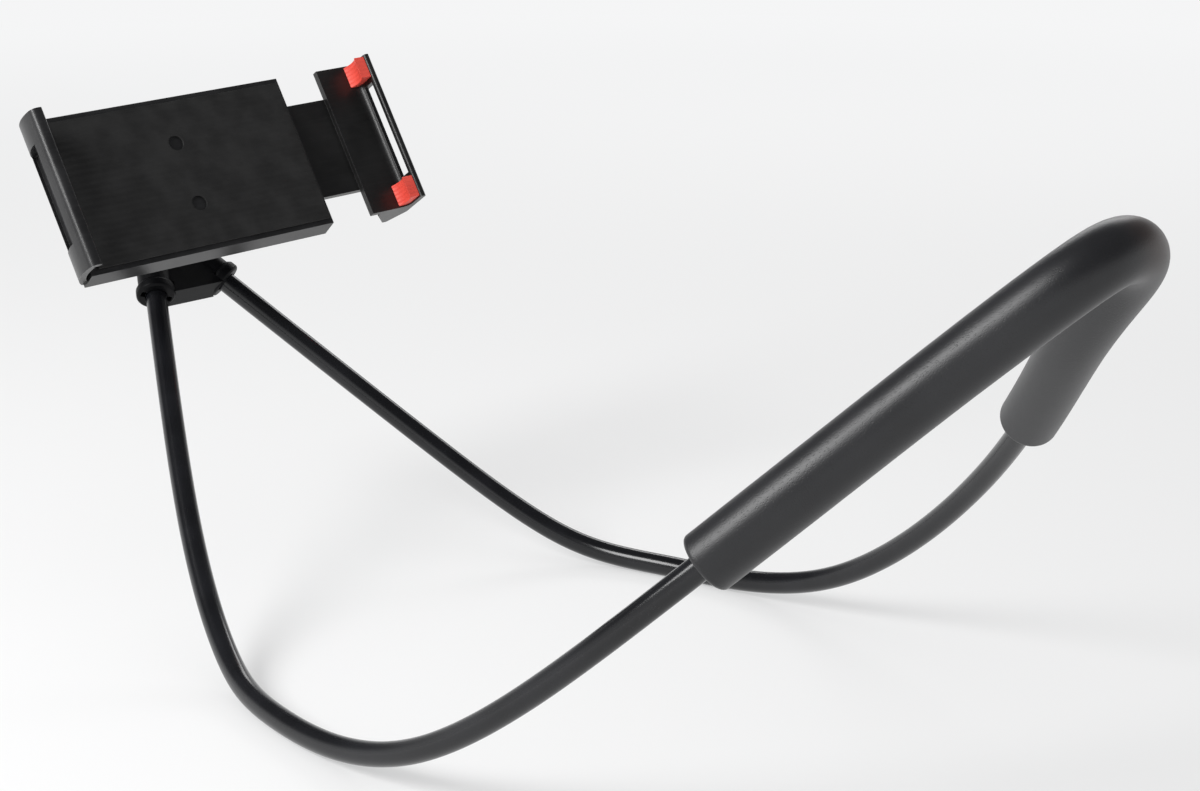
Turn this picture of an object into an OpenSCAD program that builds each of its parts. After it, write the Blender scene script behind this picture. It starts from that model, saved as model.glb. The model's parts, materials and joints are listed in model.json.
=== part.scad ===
// Neck phone holder: a bendable loop worn round the neck, with a ball joint and a sprung clamp.
// Origin on the table, in the loop's mirror plane, below the middle of the whole holder.
// X runs across the loop, Y from the neck towards the clamp, Z up. Millimetres.

/* [Gooseneck] */
// Outer diameter of the arm
arm_d = 8.2; // [7.4:0.1:9]
// Wall of the arm's sheath
sheath_wall = 1.3; // [1:0.1:1.6]
// Length of arm that sits in each socket of the hub
arm_seat = 16; // [14:0.5:17]
// Distance over which each arm leaves its socket straight
arm_entry = 115.5; // [104:0.5:124]

/* [Neck foam] */
// Outer diameter of the foam sleeve
foam_d = 19.4; // [16:0.2:22]
// Length of the foam sleeve along the arm
foam_len = 276; // [240:2:300]
// How far the sleeve has slid from the loop's middle towards the left arm
foam_slip = 10; // [0:0.5:12]
// Rounding of the sleeve's two ends
foam_round = 2.5; // [1:0.5:4]

/* [Hub] */
// Height of the hub's centre above the table
hub_height = 124.1; // [120:0.1:130]
// Distance from the neck's middle to the hub's centre, front to back
hub_reach = 435.4; // [430:0.1:440]
// Slope of the hub's split plane below the horizontal
hub_droop = 42; // [38:0.5:46]
// Half the angle between the two sockets
socket_splay = 25; // [24:0.5:27]
// Distance from the hub's centre to the mouths of the sockets, along the hub
socket_reach = 27.5; // [26:0.5:30]
// Outer diameter of a socket
socket_d = 12.8; // [12.4:0.1:13.4]
// Outer diameter of a collar
collar_d = 15.2; // [14.8:0.1:16]
// Length of a collar
collar_len = 5; // [4:0.5:6]
// Diameter of the boss round the ball stud
boss_d = 28; // [27:0.5:31]
// Thickness of the boss
boss_t = 14; // [13:0.5:16]
// Thickness of the web between the sockets
web_t = 10; // [8:0.5:11]

/* [Ball joint] */
// Diameter of the ball
ball_d = 14; // [13:0.5:15]
// Height of the ball's centre above the hub's split plane
ball_rise = 28.2; // [27.5:0.1:32]
// Thread diameter of the stud's shank
stud_d = 6; // [5:0.5:6.5]
// Diameter of the neck under the ball
neck_d = 5.6; // [5:0.2:6]
// Turn of the ball stud in the hub, as photographed
ball_pan = -24.3; // [-180:0.1:180]
// Tilt of the clamp on the ball, as photographed
ball_tilt = 17.3; // [0:0.1:30]
// Spin of the clamp in its lock nut, as photographed
clamp_spin = 22.4; // [-180:0.1:180]

/* [Clamp] */
// Width of the clamp and of both jaws
clamp_w = 63; // [58:1:70]
// Length of the tray's back
tray_len = 107.5; // [100:0.5:118]
// Distance from the tray's closed end to the ball's axis
ball_offset = 61.5; // [56:0.5:66]
// Thickness of the tray
tray_t = 8.5; // [8:0.25:10]
// Wall of the tray and the jaws
wall = 2.7; // [2.2:0.1:3]
// Thickness of the tray's front plate and of the rear cover
plate_t = 2; // [1.6:0.1:2.2]
// Height of the fixed jaw's lip above the tray's back
lip_height = 21.8; // [20:0.1:24]
// Height at which the fixed jaw bulges out most
bulge_height = 15; // [13:0.5:16]
// How far the fixed jaw bulges out past the tray's end
jaw_bulge = 5.4; // [4:0.1:6.5]
// Reach of the lip, from the bulge inwards
lip_reach = 5.2; // [5:0.1:6.5]
// Length of the window in each jaw
window_len = 40; // [30:1:44]
// Thickness of the rest pad
rest_pad_t = 0.9; // [0.6:0.1:2]

/* [Sliding jaw] */
// Clear opening between the jaws' walls, as photographed
jaw_open = 147; // [129:1:177]
// Height of the sliding jaw's rim above the tray's back
rim_height = 18.7; // [17:0.1:22]
// Length of the jaw's back plate from its outer face
jaw_plate_len = 20.5; // [18:0.5:24]
// Depth of the ridge behind the jaw
ridge_depth = 7; // [4:0.5:9]
// Width of the tongue that runs in the tray
tongue_w = 40; // [34:1:42]
// Thickness of the tongue
tongue_t = 3; // [2.6:0.1:3.2]
// Length of tongue left in the tray, as photographed
tongue_in = 48; // [44:1:54]
// Width of each red grip pad
pad_w = 9; // [7:0.5:11]
// Thickness of a grip pad at its middle
pad_t = 3.2; // [2.4:0.1:4]

/* [Hidden] */
$fn = 64;

// Clearances
seat_gap = 0.05; // parts of one body that are fixed together
fit_gap = 0.05; // radius of a running fit
slide_gap = 0.3; // round a part that slides or turns freely
cut = 0.1; // how far a cut runs past the face it opens

// Colours
black = [0.05, 0.05, 0.055];
charcoal = [0.09, 0.09, 0.095];
foam_grey = [0.2, 0.2, 0.21];
steel = [0.7, 0.71, 0.72];
red = [0.82, 0.16, 0.13];

// Gooseneck
arm_r = arm_d / 2;
bore_r = arm_r - sheath_wall;
core_r = bore_r - 0.15;
rod_out = 6; // bare rod past the sheath, for the ferrule
ferrule_len = 5;
ferrule_r = arm_r + 0.8;
sheath_sides = 16;
core_sides = 10;
foam_sides = 20;
foam_gap = 0.25;

// The arm's centreline is a smooth curve that these points pull on, from a low bend to the neck's middle.
// Where three points follow each other at the arm's own radius, the loop lies flat on the table.
// The points' Y counts from the neck's middle.
low_points = [[86, 290, arm_r], [100, 254, arm_r], [108, 176, arm_r]];
neck_points = [[92, 92, 80], [34, 35, 147], [19, 3, 178], [0, -1, 185]];

mouth_x = 17.1;
socket_dir = [sin(socket_splay), -cos(socket_splay), 0];

function drooped(v) = [v.x, v.y * cos(hub_droop) - v.z * sin(hub_droop),
    v.y * sin(hub_droop) + v.z * cos(hub_droop)];
function flipped(v) = [-v.x, v.y, v.z];
function unit(v) = v / norm(v);

// The holder's front is the foam round the neck's middle, its back is the hub's boss, and the origin lies midway
front_y = (2 * neck_points[2].y + 4 * neck_points[3].y) / 6 - foam_d / 2;
back_y = hub_reach + boss_t / 2 * sin(hub_droop) + boss_d / 2 * cos(hub_droop);
middle_y = (front_y + back_y) / 2;
function placed(v) = [v.x, v.y - middle_y, v.z];

hub_pos = placed([0, hub_reach, hub_height]);
mouth = hub_pos + drooped([mouth_x, -socket_reach, 0]);
arm_dir = drooped(socket_dir);
entry_point = mouth + arm_entry * arm_dir;
half_points = concat([2 * mouth - entry_point, mouth, entry_point],
    [for (v = concat(low_points, neck_points)) placed(v)]);
pull_points = concat(half_points, [for (i = [len(half_points) - 2:-1:0]) flipped(half_points[i])]);

// A point of the uniform cubic B-spline on span i, at t from 0 to 1
function spline(c, i, t) = (pow(1 - t, 3) * c[i] + (3 * pow(t, 3) - 6 * t * t + 4) * c[i + 1]
    + (-3 * pow(t, 3) + 3 * t * t + 3 * t + 1) * c[i + 2] + pow(t, 3) * c[i + 3]) / 6;

span_steps = 6;
spans = len(pull_points) - 3;
free_arm = concat([for (i = [0:spans - 1], k = [0:span_steps - 1]) spline(pull_points, i, k / span_steps)],
    [flipped(mouth)]);

// The whole arm with both ends carried straight on into the hub by a length
function arm_path(into) = concat([mouth - into * arm_dir], free_arm, [flipped(mouth - into * arm_dir)]);

// Distance of every point of a path from the path's start
function run_lengths(p) = [for (i = 0, s = 0; i < len(p);
    s = s + (i < len(p) - 1 ? norm(p[i + 1] - p[i]) : 0), i = i + 1) s];

// The point of a path at distance s along it
function point_at(p, runs, s) = let (i = max([for (k = [0:len(p) - 2]) runs[k] <= s ? k : 0]))
    p[i] + (p[i + 1] - p[i]) * (s - runs[i]) / (runs[i + 1] - runs[i]);

arm_runs = run_lengths(free_arm);
arm_middle = arm_runs[len(arm_runs) - 1] / 2;
foam_from = arm_middle + foam_slip - foam_len / 2;
foam_to = arm_middle + foam_slip + foam_len / 2;
foam_path = concat(
    [point_at(free_arm, arm_runs, foam_from), point_at(free_arm, arm_runs, foam_from + foam_round)],
    [for (i = [0:len(free_arm) - 1])
        if (arm_runs[i] > foam_from + 2 * foam_round && arm_runs[i] < foam_to - 2 * foam_round) free_arm[i]],
    [point_at(free_arm, arm_runs, foam_to - foam_round), point_at(free_arm, arm_runs, foam_to)]);

// Hub
socket_r = socket_d / 2;
collar_r = collar_d / 2;
boss_r = boss_d / 2;
web_past = 2.4; // how far the web runs past the middles of the socket mouths
web_back = 4;
ferrule_depth = arm_seat + (rod_out - ferrule_len) / 2;
hub_screw_r = 1.5;
hub_head_r = 2.75;
hub_head_h = 2;
hub_screw_spots = [[0, 10 - socket_reach, web_t / 2], [-9.8, 5, boss_t / 2], [9.8, 5, boss_t / 2]];
hub_screw_grip = 4; // how deep a hub screw bites past the split plane
half_box = 4 * boss_d; // side of the box that holds one half of the hub
notch_w = 2.4; // the collars' notches
notch_depth = 2;
notch_in = 1.5;

// Ball stud, measured along its axis from the hub's split plane
ball_r = ball_d / 2;
stud_r = stud_d / 2;
flange_t = 2.5;
flange_r = 6.5;
nut_flats = 10;
nut_t = 5;
nut_r = nut_flats / 2 / cos(30);
washer_t = 1;
pocket_r = nut_r + 0.6;
pocket_depth = boss_t / 2 - 2;

// Ball cup and lock nut, measured from the tray's back
ball_seat = 11; // depth of the ball's centre behind the tray's back
cup_past = 3.5; // cup wall past the ball's centre
cup_r = ball_r + 3.2;
cup_len = ball_seat + cup_past;
cup_slots = 4;
cup_slot_w = 1.4;
lock_r = cup_r + 3.4;
lock_from = 2;
lock_len = 10.5;
lock_grooves = 20;

// Tray
half_w = clamp_w / 2;
tray_x0 = -ball_offset;
tray_x1 = tray_len - ball_offset;
cavity_top = tray_t - plate_t;
side_wall = 2.2;
ledge_w = 1;
cover_screw_x = [tray_x0 + 8, tray_x1 - 8];
cover_screw_y = half_w - 5.5;
cover_screw_r = 1.1;
cover_head_r = 2.35;
cover_head_h = 1.2;
screw_boss_r = 2.8;
end_x = tray_x0 + 0.7; // the tray's end wall inside the fixed jaw's window
lip_t = 2.2;
jaw_roll_r = 3;
jaw_bend_r = (pow(jaw_bulge, 2) + pow(bulge_height, 2)) / 2 / jaw_bulge;
jaw_bend = [tray_x0 - jaw_bulge + jaw_bend_r, bulge_height];
// Where the inner face of the jaw's wall meets the tray's back
jaw_foot_x = jaw_bend.x - sqrt(pow(jaw_bend_r - wall, 2) - pow(bulge_height, 2));
end_wall = jaw_foot_x + seat_gap - end_x;
roll_z = lip_height - jaw_roll_r;
jaw_roll = [jaw_bend.x - sqrt(pow(jaw_bend_r - jaw_roll_r, 2) - pow(roll_z - bulge_height, 2)), roll_z];
window_low = 1;
window_high = bulge_height + 0.5;
tray_flare = 1.2; // how much wider the tray is at its back than at its front, on each side

// Sliding jaw
wall_x = tray_x0 - jaw_bulge + wall + jaw_open; // inner face of the sliding jaw's wall
jaw_x = wall_x + wall; // its outer face
plate_x = jaw_x - jaw_plate_len;
tongue_x = tray_x1 - tongue_in;
tongue_top = cavity_top - 0.2;
slot_from = 9; // the tongue's two slots, from its end in the tray
slot_len = 34;
slot_w = 6;
slot_y = 13;
jaw_plate_t = 2.6;
jaw_fillet = 3;
lug_len = 4;
lug_out = 2;
throat_len = 10;
rail_from = 80; // start of the rails that guide the tongue's lugs, from the tray's open end
rail_w = 1.6;
throat_y = tongue_w / 2 + slide_gap + rail_w / 2; // middle of the narrow throat's rails
rail_y = throat_y + lug_out; // middle of the rails beside the lugs
rib_t = 1.8; // ribs and walls of the hollow ridge
ridge_bays = 4;
bay_w = (clamp_w - rib_t) / ridge_bays - rib_t;
ridge_foot = 5; // where the ridge leaves the jaw's plate, from the plate's end
ridge_top = tray_t - 2;
ridge_root = tray_t - 4.8;
ridge_out = 5.5; // from the ridge's crest to the jaw's outer face
ridge_flat = 2;
ridge_edge = 1.5;
hollow_from = 13.5; // the hollows' corners, from the jaw's outer face
hollow_to = 8.2;
hollow_wall = 2.2;
pad_low = tray_t + seat_gap;
pad_high = rim_height - 0.7;

// Brake leaf
leaf_len = 30;
leaf_w = 12;
leaf_t = 0.3;
leaf_x = tray_x1 - 24; // middle of the leaf
leaf_rise = tongue_top - tongue_t - plate_t - 0.1 - leaf_t;
leaf_bow_r = (pow(leaf_len / 2, 2) + pow(leaf_rise, 2)) / 2 / leaf_rise;
leaf_screw_r = 1;

// One ring of a swept tube: points round the path's point i, at radius r
function ring(p, i, r, sides) =
    let (t = unit(p[min(i + 1, len(p) - 1)] - p[max(i - 1, 0)]),
        side = unit(cross([0, 0, 1], t)),
        over = cross(t, side))
    [for (k = [0:sides - 1]) p[i] + r * (cos(360 * k / sides) * side + sin(360 * k / sides) * over)];

// Two triangles for each patch between ring a and ring b; the numbers are the rings' first points
function patches(a, b, sides) = [for (k = [0:sides - 1])
    each [[a + k, b + k, b + (k + 1) % sides], [a + k, b + (k + 1) % sides, a + (k + 1) % sides]]];

function backwards(faces) = [for (f = faces) [f[2], f[1], f[0]]];

// A round rod along a path
module swept_rod(path, r, sides) {
    n = len(path);
    last = (n - 1) * sides;
    polyhedron(
        points = [for (i = [0:n - 1]) each ring(path, i, r, sides)],
        faces = concat(
            [for (i = [0:n - 2]) each patches(i * sides, (i + 1) * sides, sides)],
            [for (k = [1:sides - 2]) [0, k, k + 1]],
            [for (k = [1:sides - 2]) [last, last + k + 1, last + k]]));
}

// A tube along a path, with an outer radius for each point
module swept_tube(path, radii, inner_r, sides) {
    n = len(path);
    inner = n * sides;
    last = (n - 1) * sides;
    polyhedron(
        points = concat(
            [for (i = [0:n - 1]) each ring(path, i, radii[i], sides)],
            [for (i = [0:n - 1]) each ring(path, i, inner_r, sides)]),
        faces = concat(
            [for (i = [0:n - 2]) each patches(i * sides, (i + 1) * sides, sides)],
            backwards([for (i = [0:n - 2]) each patches(inner + i * sides, inner + (i + 1) * sides, sides)]),
            backwards(patches(0, inner, sides)),
            patches(last, inner + last, sides)));
}

// Places things drawn in the hub's frame: split plane level, sockets towards -Y, ball towards +Z
module in_hub() {
    translate(hub_pos)
        rotate([hub_droop, 0, 0])
            children();
}

// Places things drawn along a socket: Z runs out of the mouth, from the mouth
module in_socket(side) {
    in_hub()
        translate([side * mouth_x, -socket_reach, 0])
            rotate([90, 0, side * socket_splay])
                children();
}

// Places things drawn in the stud's frame: origin at the ball's centre, neck towards -Z
module in_ball() {
    in_hub()
        translate([0, 0, ball_rise])
            rotate([0, 0, ball_pan])
                children();
}

// Places things drawn in the clamp's frame: back of the tray at Z 0, phone side towards +Z, jaws along X
module in_clamp() {
    in_ball()
        rotate([ball_tilt, 0, 0])
            rotate([0, 0, clamp_spin])
                translate([0, 0, ball_seat])
                    children();
}

// A flat outline drawn in XZ and pushed along Y over a width centred on the clamp
module across(width) {
    translate([0, width / 2, 0])
        rotate([90, 0, 0])
            linear_extrude(width)
                children();
}

module gooseneck_sheath() {
    path = arm_path(arm_seat);
    color(black)
        swept_tube(path, [for (p = path) arm_r], bore_r, sheath_sides);
}

module gooseneck_core() {
    color(steel)
        swept_rod(arm_path(arm_seat + rod_out), core_r, core_sides);
}

module neck_foam() {
    n = len(foam_path);
    r = foam_d / 2;
    color(foam_grey)
        swept_tube(foam_path, [for (i = [0:n - 1]) i == 0 || i == n - 1 ? r - foam_round / 2 : r],
            arm_r + foam_gap, foam_sides);
}

module rod_ferrule(side) {
    color(steel)
        in_socket(side)
            translate([0, 0, -ferrule_depth - ferrule_len])
                difference() {
                    cylinder(h = ferrule_len, r = ferrule_r);
                    translate([0, 0, -cut])
                        cylinder(h = ferrule_len + 2 * cut, r = core_r + seat_gap);
                }
}

// The web's outline between the sockets, in the split plane
module web_outline() {
    polygon([
        [-mouth_x, -socket_reach - web_past],
        [mouth_x, -socket_reach - web_past],
        [boss_r - 2, web_back],
        [2 - boss_r, web_back]]);
}

// The hub before it is split and bored
module hub_block() {
    cylinder(h = boss_t, r = boss_r, center = true);
    linear_extrude(web_t, center = true)
        web_outline();
    for (side = [-1, 1])
        translate([side * mouth_x, -socket_reach, 0])
            rotate([90, 0, side * socket_splay])
                translate([0, 0, -arm_seat - rod_out - 2])
                    cylinder(h = arm_seat + rod_out + 2 - collar_len - seat_gap, r = socket_r);
}

// Everything that is cut out of the hub for the arms
module socket_cuts() {
    for (side = [-1, 1])
        translate([side * mouth_x, -socket_reach, 0])
            rotate([90, 0, side * socket_splay]) {
                translate([0, 0, -arm_seat - seat_gap])
                    cylinder(h = arm_seat + 10, r = arm_r + seat_gap);
                translate([0, 0, -ferrule_depth - ferrule_len - seat_gap])
                    cylinder(h = ferrule_len + 2 * seat_gap, r = ferrule_r + seat_gap);
                translate([0, 0, -arm_seat - rod_out - 2 * seat_gap])
                    cylinder(h = rod_out + 1, r = core_r + 2 * seat_gap);
            }
}

// The space the collars take out of the web
module collar_cuts() {
    for (side = [-1, 1])
        translate([side * mouth_x, -socket_reach, 0])
            rotate([90, 0, side * socket_splay])
                translate([0, 0, -collar_len - seat_gap])
                    cylinder(h = collar_len + 10, r = collar_r + seat_gap);
}

module hub_front() {
    color(black)
        in_hub()
            difference() {
                intersection() {
                    hub_block();
                    translate([-half_box / 2, -half_box / 2, 0])
                        cube(half_box);
                }
                socket_cuts();
                collar_cuts();
                cylinder(h = boss_t, r = stud_r + fit_gap, center = true);
                for (s = hub_screw_spots)
                    translate([s.x, s.y, -cut])
                        cylinder(h = hub_screw_grip + 2 * cut, r = hub_screw_r + seat_gap);
            }
}

module hub_rear() {
    color(black)
        in_hub()
            difference() {
                intersection() {
                    hub_block();
                    translate([-half_box / 2, -half_box / 2, -half_box])
                        cube(half_box);
                }
                socket_cuts();
                collar_cuts();
                cylinder(h = boss_t + 2, r = stud_r + fit_gap, center = true);
                translate([0, 0, -boss_t / 2 - cut])
                    cylinder(h = pocket_depth + cut, r = pocket_r);
                for (s = hub_screw_spots) {
                    translate([s.x, s.y, -boss_t])
                        cylinder(h = boss_t + cut, r = hub_screw_r + seat_gap);
                    translate([s.x, s.y, -s.z - cut])
                        cylinder(h = hub_head_h + cut, r = hub_head_r + seat_gap);
                }
            }
}

module hub_screws() {
    color(steel)
        in_hub()
            for (s = hub_screw_spots)
                translate([s.x, s.y, -s.z])
                    difference() {
                        union() {
                            cylinder(h = hub_head_h, r = hub_head_r);
                            cylinder(h = s.z + hub_screw_grip, r = hub_screw_r);
                        }
                        for (turn = [0, 90])
                            rotate([0, 0, turn])
                                translate([0, 0, 0.5])
                                    cube([3.2, 0.7, 1 + cut], center = true);
                    }
}

// A ring that grips both hub shells at a socket's mouth, with two notches for the snap fingers
module collar(side) {
    color(black)
        in_socket(side)
            difference() {
                union() {
                    translate([0, 0, -collar_len])
                        cylinder(h = 1.5, r1 = socket_r, r2 = collar_r);
                    translate([0, 0, 1.5 - collar_len])
                        cylinder(h = collar_len - 2.3, r = collar_r);
                    translate([0, 0, -0.8])
                        cylinder(h = 0.8, r1 = collar_r, r2 = collar_r - 0.8);
                }
                translate([0, 0, -collar_len - cut])
                    cylinder(h = collar_len + 2 * cut, r = arm_r + seat_gap);
                translate([0, 0, -notch_depth / 2])
                    cube([collar_d - 2 * notch_in, notch_w, notch_depth + cut], center = true);
            }
}

module ball_stud() {
    bottom = boss_t / 2 + seat_gap;
    color(steel)
        in_ball()
            difference() {
                union() {
                    sphere(r = ball_r);
                    translate([0, 0, bottom - ball_rise])
                        cylinder(h = ball_rise - bottom, r = neck_d / 2);
                    translate([0, 0, bottom - ball_rise])
                        cylinder(h = flange_t, r = flange_r);
                    translate([0, 0, -ball_rise - boss_t / 2 - 1.5])
                        cylinder(h = boss_t / 2 + 2.5 + bottom, r = stud_r);
                }
                translate([0, 0, ball_r])
                    cube([ball_d, 1.2, 2], center = true);
            }
}

module stud_washer() {
    color(steel)
        in_ball()
            translate([0, 0, -ball_rise - boss_t / 2 + pocket_depth - washer_t - seat_gap])
                difference() {
                    cylinder(h = washer_t, r = nut_r);
                    translate([0, 0, -cut])
                        cylinder(h = washer_t + 2 * cut, r = stud_r + seat_gap);
                }
}

module spring_washer() {
    color(steel)
        in_ball()
            translate([0, 0, -ball_rise - boss_t / 2 + pocket_depth - 2 * washer_t - 2 * seat_gap])
                difference() {
                    cylinder(h = washer_t, r = nut_r - 0.9);
                    translate([0, 0, -cut])
                        cylinder(h = washer_t + 2 * cut, r = stud_r + seat_gap);
                    translate([0, -0.4, -cut])
                        cube([nut_r, 0.8, washer_t + 2 * cut]);
                }
}

module stud_nut() {
    color(steel)
        in_ball()
            translate([0, 0, -ball_rise - boss_t / 2 + pocket_depth - 2 * washer_t - nut_t - 3 * seat_gap])
                difference() {
                    cylinder(h = nut_t, r = nut_r, $fn = 6);
                    translate([0, 0, -cut])
                        cylinder(h = nut_t + 2 * cut, r = stud_r + seat_gap);
                }
}

module lock_nut() {
    color(black)
        in_clamp()
            translate([0, 0, -lock_from - lock_len])
                difference() {
                    cylinder(h = lock_len, r = lock_r);
                    translate([0, 0, -cut])
                        cylinder(h = lock_len + 2 * cut, r = cup_r + fit_gap);
                    for (k = [0:lock_grooves - 1])
                        rotate([0, 0, k * 360 / lock_grooves])
                            translate([lock_r + 0.5, 0, -cut])
                                cylinder(h = lock_len - 2, r = 1.2, $fn = 24);
                }
}

module rear_cover() {
    inset = side_wall + seat_gap;
    cover_x = end_x + end_wall + seat_gap;
    color(charcoal)
        in_clamp()
            difference() {
                union() {
                    translate([cover_x, -half_w + inset, 0])
                        cube([tray_x1 - inset - cover_x, clamp_w - 2 * inset, plate_t - seat_gap]);
                    translate([0, 0, -cup_len])
                        cylinder(h = cup_len + plate_t / 2, r = cup_r);
                    translate([0, 0, -lock_from + slide_gap])
                        cylinder(h = lock_from, r = lock_r);
                }
                translate([0, 0, -ball_seat])
                    sphere(r = ball_r + fit_gap);
                for (k = [0:cup_slots - 1])
                    rotate([0, 0, 45 + k * 360 / cup_slots])
                        translate([0, -cup_slot_w / 2, -cup_len - cut])
                            cube([cup_r + 1, cup_slot_w, cup_len - 4]);
                for (x = cover_screw_x, y = [-cover_screw_y, cover_screw_y])
                    translate([x, y, -cut]) {
                        cylinder(h = plate_t + 2 * cut, r = cover_screw_r + 0.1);
                        cylinder(h = cover_head_h + cut, r = cover_head_r + seat_gap);
                    }
                translate([leaf_x, 0, plate_t - 1.5])
                    cylinder(h = 2, r = leaf_screw_r + seat_gap);
            }
}

module cover_screws() {
    color(steel)
        in_clamp()
            for (x = cover_screw_x, y = [-cover_screw_y, cover_screw_y])
                translate([x, y, 0])
                    difference() {
                        union() {
                            cylinder(h = cover_head_h, r = cover_head_r);
                            cylinder(h = cavity_top - 0.5, r = cover_screw_r);
                        }
                        for (turn = [0, 90])
                            rotate([0, 0, turn])
                                translate([0, 0, 0.3])
                                    cube([2.8, 0.6, 0.6 + cut], center = true);
                    }
}

// The fixed jaw's profile in XZ: a wall that bulges out and rolls over into the lip
module fixed_jaw_profile() {
    intersection() {
        difference() {
            translate(jaw_bend)
                circle(r = jaw_bend_r, $fn = 180);
            translate(jaw_bend)
                circle(r = jaw_bend_r - wall, $fn = 180);
        }
        translate([tray_x0 - 2 * jaw_bulge, 0])
            square([3 * jaw_bulge, jaw_roll.y]);
    }
    difference() {
        translate(jaw_roll)
            circle(r = jaw_roll_r);
        translate(jaw_roll)
            circle(r = jaw_roll_r - lip_t);
        translate([jaw_roll.x, 0])
            square([jaw_roll_r + cut, lip_height + cut]);
        translate([jaw_roll.x - 2 * jaw_roll_r, 0])
            square([4 * jaw_roll_r, jaw_roll.y]);
    }
    translate([jaw_roll.x - cut, lip_height - lip_t])
        square([tray_x0 - jaw_bulge + lip_reach - lip_t / 2 - jaw_roll.x + cut, lip_t]);
    translate([tray_x0 - jaw_bulge + lip_reach - lip_t / 2, lip_height - lip_t / 2])
        circle(r = lip_t / 2);
}

// The tray's outside: its long sides lean in towards the front
module tray_block() {
    translate([end_x, 0, 0])
        rotate([90, 0, 90])
            linear_extrude(tray_x1 - end_x)
                polygon([
                    [-half_w - tray_flare, 0],
                    [half_w + tray_flare, 0],
                    [half_w, tray_t],
                    [-half_w, tray_t]]);
}

// The fixed jaw, straight at both ends, with its window
module fixed_jaw() {
    difference() {
        across(clamp_w)
            fixed_jaw_profile();
        translate([tray_x0 - jaw_bulge - cut, -window_len / 2, window_low])
            cube([jaw_bulge + wall + 1, window_len, window_high - window_low]);
    }
}

module clamp_base() {
    ledge = side_wall + ledge_w;
    end_in = end_x + end_wall;
    open_len = tray_x1 - side_wall - end_in;
    color(charcoal)
        in_clamp()
            difference() {
                union() {
                    difference() {
                        tray_block();
                        translate([end_in, -half_w + side_wall, -cut])
                            cube([open_len, clamp_w - 2 * side_wall, plate_t + cut]);
                        translate([end_in + ledge_w, -half_w + ledge, 0])
                            cube([open_len - 2 * ledge_w, clamp_w - 2 * ledge, cavity_top]);
                    }
                    fixed_jaw();
                    for (x = cover_screw_x, y = [-cover_screw_y, cover_screw_y])
                        translate([x, y, plate_t])
                            cylinder(h = cavity_top - plate_t + cut, r = screw_boss_r);
                    for (side = [-1, 1]) {
                        translate([tray_x1 - throat_len, side * throat_y - rail_w / 2, plate_t])
                            cube([throat_len, rail_w, cavity_top - plate_t + cut]);
                        translate([tray_x1 - rail_from, side * rail_y - rail_w / 2, plate_t])
                            cube([rail_from - throat_len, rail_w, cavity_top - plate_t + cut]);
                    }
                }
                translate([tray_x1 - ledge - cut, -tongue_w / 2 - slide_gap, -cut])
                    cube([ledge + 2 * cut, tongue_w + 2 * slide_gap, cavity_top + cut]);
                for (x = cover_screw_x, y = [-cover_screw_y, cover_screw_y])
                    translate([x, y, plate_t - cut])
                        cylinder(h = cavity_top - plate_t, r = cover_screw_r + seat_gap);
            }
}

module rest_pad() {
    color(black)
        in_clamp()
            difference() {
                translate([tray_x0 + 4, -half_w + 2, tray_t + seat_gap])
                    cube([tray_len - 5, clamp_w - 4, rest_pad_t]);
                for (y = [-1, 1])
                    translate([tray_x0 + tray_len / 2, y * clamp_w / 5, tray_t - cut])
                        cylinder(h = rest_pad_t + 2 * cut, r = 3);
            }
}

// A bowed strip in XZ that stands on the rear cover and presses on the tongue
module leaf_profile() {
    intersection() {
        difference() {
            translate([0, leaf_rise + leaf_t - leaf_bow_r])
                circle(r = leaf_bow_r, $fn = 128);
            translate([0, leaf_rise - leaf_bow_r])
                circle(r = leaf_bow_r, $fn = 128);
        }
        translate([-leaf_len / 2 + 0.5, 0])
            square([leaf_len - 1, 10]);
    }
}

module brake_leaf() {
    color(steel)
        in_clamp()
            translate([leaf_x, 0, plate_t])
                difference() {
                    across(leaf_w)
                        leaf_profile();
                    cylinder(h = 10, r = leaf_screw_r + 0.15);
                }
}

module leaf_screw() {
    color(steel)
        in_clamp()
            translate([leaf_x, 0, plate_t - 1.5]) {
                cylinder(h = leaf_rise + 1.5 - seat_gap, r = leaf_screw_r);
                translate([0, 0, 1.5 + seat_gap])
                    cylinder(h = leaf_rise - 0.2, r = 1.8);
            }
}

// The sliding jaw's profile in XZ: back plate, wall with a round rim, and the ridge behind
module sliding_jaw_profile() {
    translate([plate_x, tray_t - jaw_plate_t])
        square([jaw_plate_len, jaw_plate_t]);
    translate([wall_x, tray_t - jaw_plate_t])
        square([wall, rim_height - tray_t + jaw_plate_t - wall / 2]);
    translate([wall_x + wall / 2, rim_height - wall / 2])
        circle(r = wall / 2);
    difference() {
        translate([wall_x - jaw_fillet, tray_t])
            square([jaw_fillet + cut, jaw_fillet]);
        translate([wall_x - jaw_fillet, tray_t + jaw_fillet])
            circle(r = jaw_fillet);
    }
    polygon([
        [plate_x + ridge_foot, ridge_top],
        [plate_x + ridge_foot, ridge_root],
        [jaw_x - ridge_out - ridge_flat, -ridge_depth],
        [jaw_x - ridge_out, -ridge_depth],
        [jaw_x, ridge_edge],
        [jaw_x, ridge_top]]);
}

// One hollow of the ridge, open to the back
module ridge_hollow() {
    polygon([
        [jaw_x - hollow_from, tray_t - jaw_plate_t],
        [jaw_x - hollow_from, -ridge_depth - 1],
        [jaw_x - hollow_to, -ridge_depth - 1],
        [jaw_x - hollow_wall, ridge_edge + cut],
        [jaw_x - hollow_wall, tray_t - jaw_plate_t]]);
}

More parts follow.
